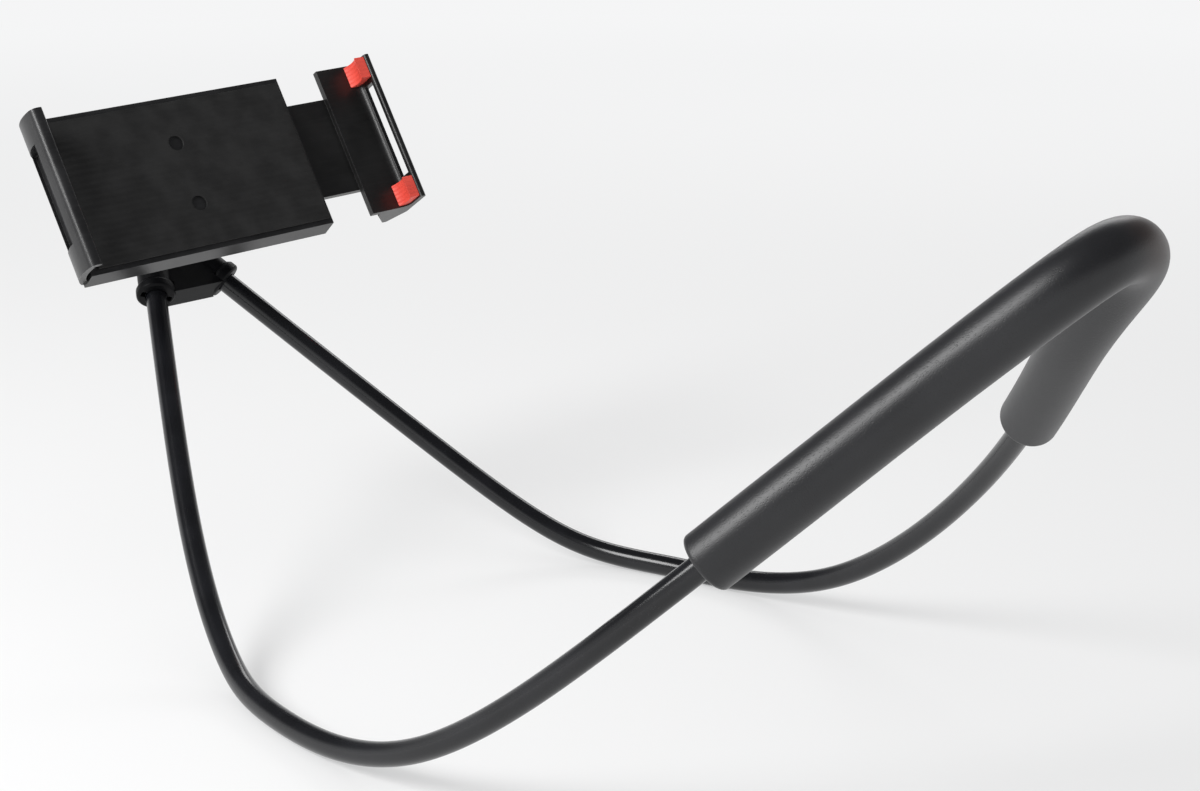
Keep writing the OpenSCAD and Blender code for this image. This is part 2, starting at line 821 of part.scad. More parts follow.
module sliding_jaw() {
    color(charcoal)
        in_clamp()
            difference() {
                union() {
                    across(clamp_w)
                        sliding_jaw_profile();
                    translate([tongue_x, -tongue_w / 2, tongue_top - tongue_t])
                        cube([plate_x + 6 - tongue_x, tongue_w, tongue_t]);
                    translate([tongue_x, -tongue_w / 2 - lug_out, tongue_top - tongue_t])
                        cube([lug_len, tongue_w + 2 * lug_out, tongue_t]);
                }
                translate([wall_x - cut, -window_len / 2, tray_t + 0.5])
                    cube([wall + 2 * cut, window_len, rim_height - tray_t - 2.7]);
                for (k = [0:ridge_bays - 1])
                    translate([0, (k + 0.5 - ridge_bays / 2) * (bay_w + rib_t), 0])
                        across(bay_w)
                            ridge_hollow();
                for (side = [-1, 1])
                    translate([tongue_x + slot_from, side * slot_y - slot_w / 2, 0])
                        cube([slot_len, slot_w, cavity_top + 1]);
            }
}

// A soft corner block between the jaw's plate and wall, hollowed to take the phone's edge
module pad_profile() {
    hollow_r = 7.6;
    pad_depth = 5.7;
    difference() {
        translate([wall_x - pad_depth, pad_low])
            square([pad_depth - seat_gap, pad_high - pad_low]);
        translate([wall_x - pad_t - hollow_r, (pad_low + pad_high) / 2])
            circle(r = hollow_r);
        translate([wall_x - jaw_fillet, tray_t + jaw_fillet])
            difference() {
                translate([0, -jaw_fillet - cut])
                    square([jaw_fillet + cut, jaw_fillet + cut]);
                circle(r = jaw_fillet - seat_gap);
            }
    }
}

module grip_pad(side) {
    color(red)
        in_clamp()
            translate([0, side * (half_w - 0.6 - pad_w / 2), 0])
                across(pad_w)
                    pad_profile();
}

module rod_ferrule_left() {
    rod_ferrule(-1);
}

module rod_ferrule_right() {
    rod_ferrule(1);
}

module collar_left() {
    collar(-1);
}

module collar_right() {
    collar(1);
}

module grip_pad_upper() {
    grip_pad(1);
}

module grip_pad_lower() {
    grip_pad(-1);
}

gooseneck_sheath();
gooseneck_core();
neck_foam();
rod_ferrule_left();
rod_ferrule_right();
hub_front();
hub_rear();
hub_screws();
collar_left();
collar_right();
ball_stud();
stud_washer();
spring_washer();
stud_nut();
lock_nut();
rear_cover();
cover_screws();
clamp_base();
rest_pad();
brake_leaf();
leaf_screw();
sliding_jaw();
grip_pad_upper();
grip_pad_lower();
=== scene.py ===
# %% [markdown]
# # A neck phone holder, dressed in Blender
#
# The holder is a long bendable loop that hangs round a neck. A foam sleeve sits on the nape,
# two arms come forward over the chest, and a clamp on a ball joint holds a telephone in front
# of the face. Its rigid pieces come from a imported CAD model, already in metres and already in
# place. This file gives them their finishes, makes the two long flexible pieces anew with
# smooth skins, and sets up the camera and the light.

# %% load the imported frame
import json
import math

import bmesh
import bpy
from mathutils import Matrix, Vector, noise


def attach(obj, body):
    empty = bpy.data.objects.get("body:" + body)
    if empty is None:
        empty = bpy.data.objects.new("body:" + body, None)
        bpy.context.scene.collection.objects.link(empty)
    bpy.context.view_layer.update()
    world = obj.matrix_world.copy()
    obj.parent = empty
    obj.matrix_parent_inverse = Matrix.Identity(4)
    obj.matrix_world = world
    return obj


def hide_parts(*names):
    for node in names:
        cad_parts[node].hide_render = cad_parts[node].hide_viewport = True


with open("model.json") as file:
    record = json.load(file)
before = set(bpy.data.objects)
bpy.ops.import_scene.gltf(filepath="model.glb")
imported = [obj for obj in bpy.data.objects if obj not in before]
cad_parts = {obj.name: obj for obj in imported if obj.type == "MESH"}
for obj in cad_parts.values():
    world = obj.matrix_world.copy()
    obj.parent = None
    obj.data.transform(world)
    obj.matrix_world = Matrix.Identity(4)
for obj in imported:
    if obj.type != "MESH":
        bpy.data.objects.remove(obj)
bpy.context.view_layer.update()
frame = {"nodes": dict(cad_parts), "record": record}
for body, members in frame["record"]["behaviour"]["bodies"].items():
    print(body, "carries", ", ".join(members))

# %% [markdown]
# ## Where the camera stands
#
# Everything follows one picture, so the camera comes first. It could be aimed by eye,
# but the outline of the loop pins it down: the camera's place and its three directions were
# fitted until the loop, the foam and the clamp fell on their outlines in the picture. The focus
# and the optical axis are in the picture's own pixels. The lens is long enough that the near arm
# and the far arm keep almost the same thickness. The small shift only says that the picture was
# cropped a little off its optical axis.

# %% camera
PICTURE = (1200, 791)
FOCUS = 2400
OPTICAL_AXIS = (628.9, 379.3)
FILM_WIDTH = 36
STANDS_AT = (-0.5626, -0.55296, 0.3239)

camera_data = bpy.data.cameras.new("picture_camera")
camera_data.sensor_width = FILM_WIDTH
camera_data.lens = FILM_WIDTH * FOCUS / PICTURE[0]
camera_data.shift_x = (PICTURE[0] / 2 - OPTICAL_AXIS[0]) / PICTURE[0]
camera_data.shift_y = (OPTICAL_AXIS[1] - PICTURE[1] / 2) / PICTURE[0]
camera_data.clip_start, camera_data.clip_end = 0.02, 20

camera = bpy.data.objects.new("picture_camera", camera_data)
bpy.context.scene.collection.objects.link(camera)
camera_right = Vector((0.67473, -0.73807, 0.0)).normalized()
camera_forward = Vector((0.71123, 0.65020, -0.26720)).normalized()
camera_up = camera_right.cross(camera_forward)
facing = Matrix((camera_right, camera_up, -camera_forward)).transposed()
camera.matrix_world = Matrix.Translation(STANDS_AT) @ facing.to_4x4()
bpy.context.scene.camera = camera
print("lens", round(camera_data.lens, 1), "mm, shift", round(camera_data.shift_x, 4),
      round(camera_data.shift_y, 4))

# %% [markdown]
# ## A bench for finishes
#
# Every finish here is a small graph of shader nodes. Graphs can be wired by hand in the editor,
# yet a finish is easier to read and to change as arithmetic, such as "roughness is 0.4 plus a
# little of the smudges". So one class wraps a socket and teaches Python's own signs to add Math
# nodes. Colours and directions don't go through Math nodes, which would turn them grey: they go
# through Mix and Vector Math.

# %% sockets that can be added and multiplied
class Wire:
    """The output of one node, which takes part in arithmetic."""

    def __init__(self, finish, socket):
        self.finish = finish
        self.socket = socket

    def math(self, operation, first, second):
        return self.finish.node("ShaderNodeMath", {"operation": operation}, {0: first, 1: second})

    def __add__(self, other):
        return self.math("ADD", self, other)

    def __radd__(self, other):
        return self.math("ADD", other, self)

    def __sub__(self, other):
        return self.math("SUBTRACT", self, other)

    def __rsub__(self, other):
        return self.math("SUBTRACT", other, self)

    def __mul__(self, other):
        return self.math("MULTIPLY", self, other)

    def __rmul__(self, other):
        return self.math("MULTIPLY", other, self)

    def step(self, low, high):
        """0 where this is below low, 1 where it is above high, and a soft step between them."""
        return self.finish.node("ShaderNodeMapRange", {"interpolation_type": "SMOOTHSTEP"},
                                {"Value": self, "From Min": low, "From Max": high}, "Result")


# %% [markdown]
# The second half of the bench is the finish itself. It fills one node tree, and one method makes
# every node in it: the node's type first, then its settings, because some of them decide which
# sockets there are, and then the numbers or wires for its sockets. On top of that method come
# the few patterns that plastics, foam and metal all share.

# %% one node tree and its nodes
class Finish:
    """The node tree of a material or of the world, built from wires."""

    def __init__(self, owner):
        owner.use_nodes = True
        self.owner = owner
        self.tree = owner.node_tree
        self.tree.nodes.clear()

    def node(self, kind, settings=None, values=None, out=0):
        made = self.tree.nodes.new(kind)
        for key, setting in (settings or {}).items():
            setattr(made, key, setting)
        for key, value in (values or {}).items():
            socket = self.find(made.inputs, key)
            if isinstance(value, Wire):
                self.tree.links.new(value.socket, socket)
            else:
                socket.default_value = value
        return Wire(self, self.find(made.outputs, out)) if made.outputs else None

    def find(self, sockets, key):
        if isinstance(key, int):
            return sockets[key]
        return next(s for s in sockets if s.name == key and s.enabled)

    def place(self):
        """A point's own coordinates on its piece, in metres."""
        return self.node("ShaderNodeTexCoord", out="Object")

    def stretched(self, scale, place=None, middle=(0, 0, 0), turn=(0, 0, 0)):
        """Coordinates from another middle and along other axes, each multiplied by its scale."""
        return self.node("ShaderNodeMapping", {"vector_type": "TEXTURE"},
                         {"Vector": place or self.place(), "Location": middle, "Rotation": turn,
                          "Scale": tuple(1 / s for s in scale)}, "Vector")

    def clouds(self, per_metre, detail=3.0, place=None):
        """Soft noise between 0 and 1, with this many lumps to a metre."""
        return self.node("ShaderNodeTexNoise", {"noise_dimensions": "3D"},
                         {"Vector": place or self.place(), "Scale": per_metre, "Detail": detail},
                         "Fac")

    def cells(self, per_metre, place=None):
        """The distance to the middle of the nearest cell, with this many cells to a metre."""
        return self.node("ShaderNodeTexVoronoi", {"feature": "F1"},
                         {"Vector": place or self.place(), "Scale": per_metre}, "Distance")

    def blend(self, factor, first, second):
        """The first colour where factor is 0 and the second where it is 1."""
        return self.node("ShaderNodeMix", {"data_type": "RGBA"},
                         {"Factor": factor, "A": first, "B": second}, "Result")

    def bumps(self, height, metres, under=None):
        """A normal that leans with height, whose full range stands this many metres high."""
        values = {"Height": height, "Distance": metres}
        if under:
            values["Normal"] = under
        return self.node("ShaderNodeBump", None, values, "Normal")

    def edges(self, width):
        """1 along edges and corners, where hands rub and where edges get a painted highlight, and
        0 on open faces.
        """
        rounded = self.node("ShaderNodeBevel", {"samples": 6}, {"Radius": width}, "Normal")
        true = self.node("ShaderNodeNewGeometry", out="Normal")
        alike = self.node("ShaderNodeVectorMath", {"operation": "DOT_PRODUCT"},
                          {0: rounded, 1: true}, "Value")
        return (1 - alike).step(0.02, 0.2)

    def shade(self, values):
        """Ends a material: colours, numbers and wires go onto the shader's own sockets."""
        surface = self.node("ShaderNodeBsdfPrincipled", None, values, "BSDF")
        self.node("ShaderNodeOutputMaterial", None, {"Surface": surface})
        print("finish", self.owner.name, "has", len(self.tree.nodes), "nodes")
        return self.owner


def grey(level, warmth=0.0):
    """A nearly neutral colour, warmer or colder by a little."""
    return (level * (1 + warmth), level * (1 + 0.7 * warmth), level * (1 - warmth), 1)


def brighter(colour, times):
    """The same colour with more light in it, and never more than white."""
    return tuple(min(1, times * part) for part in colour[:3]) + (1,)


# %% [markdown]
# ## The studio
#
# The picture has a bright, even background with a soft shadow under the loop, and yet the tops
# of the black tubes stay black. So the studio has a white floor and white walls, and above them
# it is dark. The world does both: the camera, and what mirrors and glass show, see it near white
# low down and dark overhead, while it lights matt surfaces evenly from all sides. The view
# transform is Standard, which shows a colour as it is written and doesn't roll bright values
# off as a film would.

# %% world
bpy.context.scene.view_settings.view_transform = "Standard"
WHITE = (0.912, 0.915, 0.920, 1)
CEILING = (0.10, 0.10, 0.105, 1)
AMBIENT = 0.54

sky = Finish(bpy.data.worlds.new("studio_air"))
bpy.context.scene.world = sky.owner
camera_ray, glossy_ray, clear_ray = (sky.node("ShaderNodeLightPath", out=name) for name in
                                     ("Is Camera Ray", "Is Glossy Ray", "Is Transmission Ray"))
seen = (camera_ray + glossy_ray + clear_ray).step(0, 1)
direction = sky.node("ShaderNodeTexCoord", out="Generated")
height = sky.node("ShaderNodeSeparateXYZ", None, {"Vector": direction}, "Z")
walls = sky.blend(height.step(0.08, 0.42), WHITE, CEILING)
lighting = sky.node("ShaderNodeBackground", None, {"Color": grey(1.0), "Strength": AMBIENT})
shown = sky.node("ShaderNodeBackground", None, {"Color": walls, "Strength": 1.0})
either = sky.node("ShaderNodeMixShader", None, {0: seen, 1: lighting, 2: shown})
sky.node("ShaderNodeOutputWorld", None, {"Surface": either})
print("world lights at", AMBIENT, "and shows", WHITE[:3], "below", CEILING[:3])

# %% [markdown]
# The floor is pale paper that keeps the shadow. Paper over a light table would keep a softer
# one, and so does this: a share of the floor shines by itself, in the same near white as the
# walls. A floor that simply ended would show its edge, so that share grows with the distance
# until the floor and the walls are one.

# %% floor
FLOOR_HALF = 6.0
OWN_LIGHT = 0.45
PAPER_ENDS, WALLS_BEGIN = 0.45, 1.9
floor_form = bmesh.new()
bmesh.ops.create_grid(floor_form, x_segments=24, y_segments=24, size=FLOOR_HALF)
floor_mesh = bpy.data.meshes.new("studio_floor")
floor_form.to_mesh(floor_mesh)
floor_form.free()
floor = bpy.data.objects.new("studio_floor", floor_mesh)
bpy.context.scene.collection.objects.link(floor)

paper = Finish(bpy.data.materials.new("floor_paper"))
from_middle = paper.node("ShaderNodeVectorMath", {"operation": "LENGTH"},
                         {0: paper.place()}, "Value")
fade = OWN_LIGHT + (1 - OWN_LIGHT) * from_middle.step(PAPER_ENDS, WALLS_BEGIN)
near = paper.node("ShaderNodeBsdfDiffuse", None, {"Color": grey(0.87)})
far = paper.node("ShaderNodeEmission", None, {"Color": WHITE, "Strength": 1.0})
blended = paper.node("ShaderNodeMixShader", None, {0: fade, 1: near, 2: far})
paper.node("ShaderNodeOutputMaterial", None, {"Surface": blended})
floor_mesh.materials.append(paper.owner)
print("floor is", 2 * FLOOR_HALF, "m wide")

# %% [markdown]
# Black plastic shows light mostly as reflections: a long tube turns each lamp into a line along
# its whole length. Small lamps would give hard white threads, so these are large soft boxes. The
# bands on the sleeve and the arms tell where they stood: reflected at each band, the line of
# sight leads to a box on the left, and from the far edges to a wider one behind, on the right. A
# box is placed by its bearing and its rise above the horizon, both in degrees, and its distance.

# %% soft boxes
AIM = Vector((0, 0, 0.08))


def softbox(name, bearing, rise, distance, size, watts):
    """A lamp that faces the aim, as wide and as high as size says, in metres."""
    data = bpy.data.lights.new(name, "AREA")
    data.shape, data.size, data.size_y, data.energy = "RECTANGLE", size[0], size[1], watts
    lamp = bpy.data.objects.new(name, data)
    bpy.context.scene.collection.objects.link(lamp)
    b, e = math.radians(bearing), math.radians(rise)
    away = Vector((math.sin(b) * math.cos(e), -math.cos(b) * math.cos(e), math.sin(e)))
    lamp.location = AIM + distance * away
    lamp.rotation_mode = "QUATERNION"
    lamp.rotation_quaternion = away.to_track_quat("Z", "Y")
    print(name, "stands at", [round(c, 2) for c in lamp.location])


softbox("key_box", -106, 36, 1.15, (0.55, 0.5), 11.0)
softbox("back_box", 122, 28, 1.7, (1.0, 0.4), 5.0)

# %% [markdown]
# ## The loop's route
#
# The arm is one semi-rigid gooseneck: a soft steel rod in a black sheath, bent by hand and
# staying where it is bent. Its centreline is a smooth curve pulled along by nineteen points,
# the same points that the CAD model uses. A curve object with a bevel would do for a plain
# tube. Here the route is kept as numbers instead, because the sleeve needs to know how far along
# the arm each of its rings lies and which way the arm bends there.

# %% the points that pull on the route
MILLI = 0.001
mouth = Vector((17.1, 194.403, 105.699)) * MILLI
leaving = Vector((0.42262, -0.67352, -0.60644)).normalized()
STRAIGHT = 115.5 * MILLI
entry = mouth + STRAIGHT * leaving
pulls = [2 * mouth - entry, mouth, entry]
for x, y, z in ((86, 69.44, 4.1), (100, 33.44, 4.1), (108, -44.56, 4.1), (92, -128.56, 80),
                (34, -185.56, 147), (19, -217.56, 178), (0, -221.56, 185)):
    pulls.append(Vector((x, y, z)) * MILLI)
pulls += [Vector((-p.x, p.y, p.z)) for p in reversed(pulls[:-1])]
print(len(pulls), "points pull on the route")


# %% the route itself
class Route:
    """A smooth curve through space, read by the distance along it in metres."""

    def __init__(self, pulls, steps):
        self.points = []
        for i in range(len(pulls) - 3):
            a, b, c, d = pulls[i:i + 4]
            for k in range(steps + (i == len(pulls) - 4)):
                t = k / steps
                self.points.append(((1 - t) ** 3 * a + (3 * t ** 3 - 6 * t * t + 4) * b
                                    + (-3 * t ** 3 + 3 * t * t + 3 * t + 1) * c + t ** 3 * d) / 6)
        self.runs = [0.0]
        for p, q in zip(self.points, self.points[1:]):
            self.runs.append(self.runs[-1] + (q - p).length)
        self.length = self.runs[-1]

    def at(self, run):
        """The point at a distance, carried straight on past either end."""
        if run <= 0:
            return self.points[0] + run * (self.points[1] - self.points[0]).normalized()
        if run >= self.length:
            last = (self.points[-1] - self.points[-2]).normalized()
            return self.points[-1] + (run - self.length) * last
        low, high = 0, len(self.runs) - 1
        while high - low > 1:
            middle = (low + high) // 2
            low, high = (middle, high) if self.runs[middle] <= run else (low, middle)
        part = (run - self.runs[low]) / (self.runs[high] - self.runs[low])
        return self.points[low].lerp(self.points[high], part)

    def ahead(self, run, reach=0.001):
        return (self.at(run + reach) - self.at(run - reach)).normalized()

    def bend(self, run, reach=0.004):
        """Points to the inside of the bend, and is as long as one over the bend's radius."""
        return (self.ahead(run + reach) - self.ahead(run - reach)) / (2 * reach)


route = Route(pulls, 48)
tightest = max(route.bend(route.length * i / 400).length for i in range(401))
print("the arm is", round(1000 * route.length), "mm long, its tightest bend",
      round(1000 / tightest, 1), "mm in radius")

# %% [markdown]
# ## Skins round the route
#
# Both long pieces are rings of points set round the route and joined into a closed skin: out
# along the outside, over the end and back along the bore. Each point also keeps where it would
# be if the arm were pulled straight. A pattern that reads this place runs along the arm, as the
# marks of an extruder do, and has no seam, which a flat unwrapped map would have.

# %% one skin from many rings
def skin(name, stations, sides, shape):
    """stations are (distance along the route, radius) pairs that go round the skin's section."""
    form = bmesh.new()
    straight = form.verts.layers.float_vector.new("straight")
    rings = []
    for run, radius in stations:
        middle, ahead = route.at(run), route.ahead(run)
        side = Vector((0, 0, 1)).cross(ahead).normalized()
        over = ahead.cross(side)
        ring = []
        for k in range(sides):
            angle = 2 * math.pi * k / sides
            out = math.cos(angle) * side + math.sin(angle) * over
            r = shape(run, out, radius)
            vert = form.verts.new(middle + r * out)
            vert[straight] = (run, r * math.cos(angle), r * math.sin(angle))
            ring.append(vert)
        rings.append(ring)
    for first, second in zip(rings, rings[1:] + rings[:1]):
        for k in range(sides):
            after = (k + 1) % sides
            form.faces.new((first[k], first[after], second[after], second[k]))
    bmesh.ops.recalc_face_normals(form, faces=form.faces)
    for face in form.faces:
        face.smooth = True
    mesh = bpy.data.meshes.new(name)
    form.to_mesh(mesh)
    form.free()
    made = bpy.data.objects.new(name, mesh)
    bpy.context.scene.collection.objects.link(made)
    print(name, "has", len(mesh.vertices), "points in", len(stations), "rings")
    return made


def spread(start, end, step):
    """Distances from start to end, evenly spread."""
    count = max(1, round(abs(end - start) / step))
    return [start + (end - start) * i / count for i in range(count + 1)]


# %% [markdown]
# ## The sheath
#
# The sheath is a thin extruded tube of black vinyl. It runs from deep inside one socket of the
# hub, round the neck, to the other socket. Extruded vinyl is glossy but never quite even: its
# skin has faint lines along its length, and bending by hand leaves long shallow waves that make
# the highlights swell and thin out. Those waves are real shape, a few hundredths of a
# millimetre, and only ever inwards, so that the sheath still fits its sockets.

# %% sheath shape
ARM_R, BORE_R, SEAT = 4.1 * MILLI, 2.8 * MILLI, 16 * MILLI
WAVE_DEPTH = 0.05 * MILLI


def drawn(run, out, radius):
    """The outside swells and thins a little between the hands' grips."""
    if radius < ARM_R:
        return radius
    swell = noise.noise(Vector((run * 30, 4.0, 0)))
    dent = noise.noise(out * 0.8 + Vector((run * 55, 0, 9)))
    return radius - WAVE_DEPTH * (0.75 + 0.5 * (swell + 0.5 * dent))


outside = [(run, ARM_R) for run in spread(-SEAT, route.length + SEAT, 2.4 * MILLI)]
inside = [(run, BORE_R) for run in spread(route.length + SEAT, -SEAT, 8 * MILLI)]
sheath = skin("sheath_skin", outside + inside, 32, drawn)
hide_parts("gooseneck_sheath")
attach(sheath, "neck_loop")

# %% sheath finish
vinyl = Finish(bpy.data.materials.new("black_vinyl"))
pulled = vinyl.node("ShaderNodeAttribute", {"attribute_name": "straight"}, out="Vector")
die_lines = vinyl.clouds(1.0, 2.0, vinyl.stretched((5, 2600, 2600), pulled))
handling = vinyl.clouds(46.0, 4.0)
free_of_dust = vinyl.cells(900.0).step(0.0, 0.22)
tone = vinyl.blend(handling.step(0.35, 0.7), grey(0.006, -0.12), grey(0.011, -0.12))
orange_peel = vinyl.bumps(vinyl.clouds(500.0, 2.0), 0.006 * MILLI)
sheath.data.materials.append(vinyl.shade({
    "Base Color": vinyl.blend(free_of_dust, grey(0.022), tone),
    "Roughness": 0.13 + 0.09 * handling + 0.05 * die_lines,
    "Specular IOR Level": 0.48,
    "Normal": vinyl.bumps(die_lines, 0.002 * MILLI, orange_peel),
}))

# %% [markdown]
# ## The foam sleeve
#
# The sleeve is a thick-walled tube of closed-cell foam with a moulded skin, pushed onto the arm
# before the hub was closed. A cushion with a fabric cover would be made by a cloth simulation,
# but foam has no loose cover: it keeps its round section, and where the arm bends, its inner
# side is pressed together and its outer side is stretched. So the rings themselves are moved.
# They tighten a little on the inside of the bend, they get a few shallow pinches there, and the
# whole skin undulates softly. Its two ends are cut square and their rims are soft.

# %% sleeve shape
FOAM_R, HOLE_R, RIM = 9.7 * MILLI, 4.35 * MILLI, 1.4 * MILLI
FOAM_MM, FOAM_AHEAD_MM = 276, 10
PINCH_APART = 0.0083
PINCH_MM, LUMP_MM, RIPPLE_MM = 0.9, 0.14, 0.035
# Millimetres into the hole and out from its wall, where the foam rolls over the hole's edge
HOLE_EDGE_MM = ((0.9, 0), (0.35, 0.15), (0.08, 0.6), (0, 1.4))
RIM_STEPS = 7

foam_from = route.length / 2 + (FOAM_AHEAD_MM - FOAM_MM / 2) * MILLI
foam_to = route.length / 2 + (FOAM_AHEAD_MM + FOAM_MM / 2) * MILLI


def smooth_noise(place):
    """Noise between about 0 and 1."""
    return 0.5 + 0.5 * noise.noise(place)


def pressed(run, out, radius):
    """The radius once foam has given way: pinched inside the bend, a little uneven all over."""
    if radius < 0.75 * FOAM_R:
        return radius
    inner = max(0.0, route.bend(run).dot(out)) * FOAM_R
    shift = 1.7 * noise.noise(out * 1.5 + Vector((run * 60, 0, 0)))
    pinch = 0.5 + 0.5 * math.sin(2 * math.pi * run / PINCH_APART + shift)
    lump = smooth_noise(out * 1.1 + Vector((run * 38, 3, 0)))
    ripple = smooth_noise(out * 5 + Vector((run * 420, 0, 5)))
    return radius - MILLI * (PINCH_MM * inner ** 2 * (0.35 + 0.65 * pinch)
                             + LUMP_MM * lump + RIPPLE_MM * ripple)


def rim(run, towards):
    """One end of the sleeve, from inside the hole over its edge and out to the full radius."""
    stations = [(run + towards * deep * MILLI, HOLE_R + out * MILLI) for deep, out in HOLE_EDGE_MM]
    for i in range(RIM_STEPS + 1):
        a = math.pi / 2 * i / RIM_STEPS
        stations.append((run + towards * RIM * (1 - math.cos(a)),
                         FOAM_R - RIM * (1 - math.sin(a))))
    return stations


past_rim = 1.4 * RIM
past_edge = 4 * MILLI
outside = [(run, FOAM_R) for run in spread(foam_from + past_rim, foam_to - past_rim, 1.3 * MILLI)]
inside = [(run, HOLE_R) for run in spread(foam_to - past_edge, foam_from + past_edge, 4 * MILLI)]
stations = rim(foam_from, 1) + outside + rim(foam_to, -1)[::-1] + inside
sleeve = skin("foam_sleeve", stations, 56, pressed)
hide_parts("neck_foam")
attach(sleeve, "neck_loop")
print("the sleeve is", round(1000 * (foam_to - foam_from)), "mm long on the arm")

# %% [markdown]
# The foam's surface is what makes it look soft. Its skin is satin, so a lamp spreads into a
# broad pale band, and it is pricked all over by burst bubbles about half a millimetre wide.
# Larger patches are a little paler where the mould's release agent has stayed, and duller too.
# One small place at the nape has a faint warm tint.

# %% sleeve finish
WARM_TINT_AT = (0.008, -0.2265, 0.189)

foam = Finish(bpy.data.materials.new("moulded_foam"))
closed = foam.cells(1500.0).step(0.05, 0.42)
bubbles = foam.clouds(3200.0, 2.0)
patches = foam.clouds(32.0, 4.0)
rubbed = foam.clouds(9.0, 2.0)
# A faint warm tint fades in round one small place at the nape.
from_warm_spot = foam.node("ShaderNodeVectorMath", {"operation": "DISTANCE"},
                      {0: foam.place(), 1: WARM_TINT_AT}, "Value")
warm_tint = (1 - from_warm_spot.step(0.003, 0.017)) * (0.5 + 0.5 * patches)
base = foam.blend(patches.step(0.3, 0.7), grey(0.011, -0.10), grey(0.017, -0.08))
base = foam.blend(warm_tint * 0.8, base, (0.042, 0.019, 0.013, 1))
# The burst bubbles are coloured a flat, slightly darker grey: painted shade in the pits.
base = foam.blend(closed, grey(0.012), base)
sleeve.data.materials.append(foam.shade({
    "Base Color": base,
    "Roughness": 0.31 + 0.10 * patches + 0.05 * rubbed,
    "Specular IOR Level": 0.50,
    "Sheen Weight": 0.04,
    "Sheen Roughness": 0.5,
    "Normal": foam.bumps(closed, 0.03 * MILLI, foam.bumps(bubbles, 0.02 * MILLI)),
}))

# %% [markdown]
# ## Giving CAD pieces their edges
#
# The rigid pieces come over with their true shapes and with perfectly sharp edges. No moulded or
# stamped part has those, and a sharp edge never catches the light, which is what tells the eye
# how big a thing is. The meshes aren't touched. A modifier first joins the triangles' shared
# corners, a second rounds every real edge by up to half a millimetre, and a third lets the
# flat faces keep their shading up to the rounding.

# %% edges and a finish for each node
def dress(names, finish, rounding, angle=32.0):
    """Rounds by this many millimetres the edges that turn by more than angle degrees."""
    for name in names:
        piece = frame["nodes"][name]
        join = piece.modifiers.new("join", "WELD")
        join.merge_threshold = 0.004 * MILLI
        edge = piece.modifiers.new("edge", "BEVEL")
        edge.width, edge.segments, edge.limit_method = rounding * MILLI, 2, "ANGLE"
        edge.angle_limit = math.radians(angle)
        edge.miter_outer = "MITER_ARC"
        shading = piece.modifiers.new("shading", "WEIGHTED_NORMAL")
        shading.keep_sharp = False
        for slot in piece.material_slots:
            slot.material = finish
        if not piece.material_slots:
            piece.data.materials.append(finish)
    print(finish.name, "on", ", ".join(names))


# %% [markdown]
# ## The hub
#
# The hub is two moulded shells of black plastic, screwed together round the ends of the arms,
# with a ring snapped over each socket. Moulds for such parts are spark-eroded, which leaves an
# even, very fine grain. On the edges the grain wears smooth and shines, and the edges are also
# painted paler, partly as wear and partly as a painted highlight.

# %% grained plastic
def grained(name, dark, light, roughness, grain, shine=0.3):
    plastic = Finish(bpy.data.materials.new(name))
    fine = plastic.clouds(grain, 2.0)
    uneven = plastic.clouds(60.0, 4.0)
    wear_and_edge_glint = plastic.edges(0.5 * MILLI) * (0.4 + 0.6 * plastic.clouds(180.0, 3.0))
    tone = plastic.blend(uneven.step(0.3, 0.7), dark, light)
    return plastic.shade({
        # Edges are painted paler: partly wear, partly a painted highlight along them.
        "Base Color": plastic.blend(wear_and_edge_glint * 0.5, tone, brighter(light, 2.2)),
        "Roughness": roughness + 0.10 * uneven + 0.06 * fine - 0.12 * wear_and_edge_glint,
        "Specular IOR Level": shine,
        "Normal": plastic.bumps(fine, 0.012 * MILLI),
    })


hub_plastic = grained("hub_plastic", grey(0.0025, -0.1), grey(0.005, -0.1), 0.34, 2800.0, 0.10)
dress(["hub_front", "hub_rear"], hub_plastic, 0.5)
dress(["collar_left", "collar_right"], hub_plastic, 0.3)

# %% [markdown]
# ## The clamp
#
# Tray and fixed jaw are one moulding in charcoal plastic with a satin polish. The polish was
# rubbed into the mould along the jaw's curve, and it shows as faint streaks that run from lip to
# tray. Those streaks need coordinates that turn with the clamp, because the clamp hangs askew in
# the picture: the mapping takes the clamp's own three directions.

# %% the clamp's own directions
clamp_axes = Matrix(((0.992356, -0.112142, 0.051515), (0.015943, 0.530439, 0.847573),
                     (-0.122374, -0.840273, 0.528172))).transposed()
ball_middle = Vector((0, 195.970, 145.057)) * MILLI
BALL_TO_TRAY = 11 * MILLI
clamp_middle = ball_middle + clamp_axes @ Vector((0, 0, BALL_TO_TRAY))
clamp_turn = tuple(clamp_axes.to_euler())
print("the clamp's back faces", [round(c, 2) for c in -clamp_axes.col[2]])


# %% satin plastic
def satin(name, dark, light, roughness, depth):
    plastic = Finish(bpy.data.materials.new(name))
    on_clamp = plastic.stretched((1, 1, 1), None, tuple(clamp_middle), clamp_turn)
    streaks = plastic.clouds(1.0, 3.0, plastic.stretched((90, 1500, 60), on_clamp))
    fine = plastic.clouds(3400.0, 2.0)
    hands = plastic.clouds(70.0, 4.0)
    wear_and_edge_glint = plastic.edges(0.45 * MILLI) * (0.45 + 0.55 * plastic.clouds(240.0, 3.0))
    tone = plastic.blend(hands.step(0.3, 0.72), dark, light)
    tone = plastic.blend(streaks.step(0.45, 0.8) * 0.35, tone, brighter(light, 1.7))
    return plastic.shade({
        # Edges are painted a pale grey: partly wear, partly a painted highlight, as on the lip's
        # bright crest.
        "Base Color": plastic.blend(wear_and_edge_glint * 0.55, tone, grey(0.13)),
        "Roughness": roughness + 0.12 * hands + 0.10 * (streaks - 0.5) - 0.08 * wear_and_edge_glint,
        "Specular IOR Level": 0.5,
        "Normal": plastic.bumps(streaks, depth * MILLI, plastic.bumps(fine, 0.006 * MILLI)),
    })


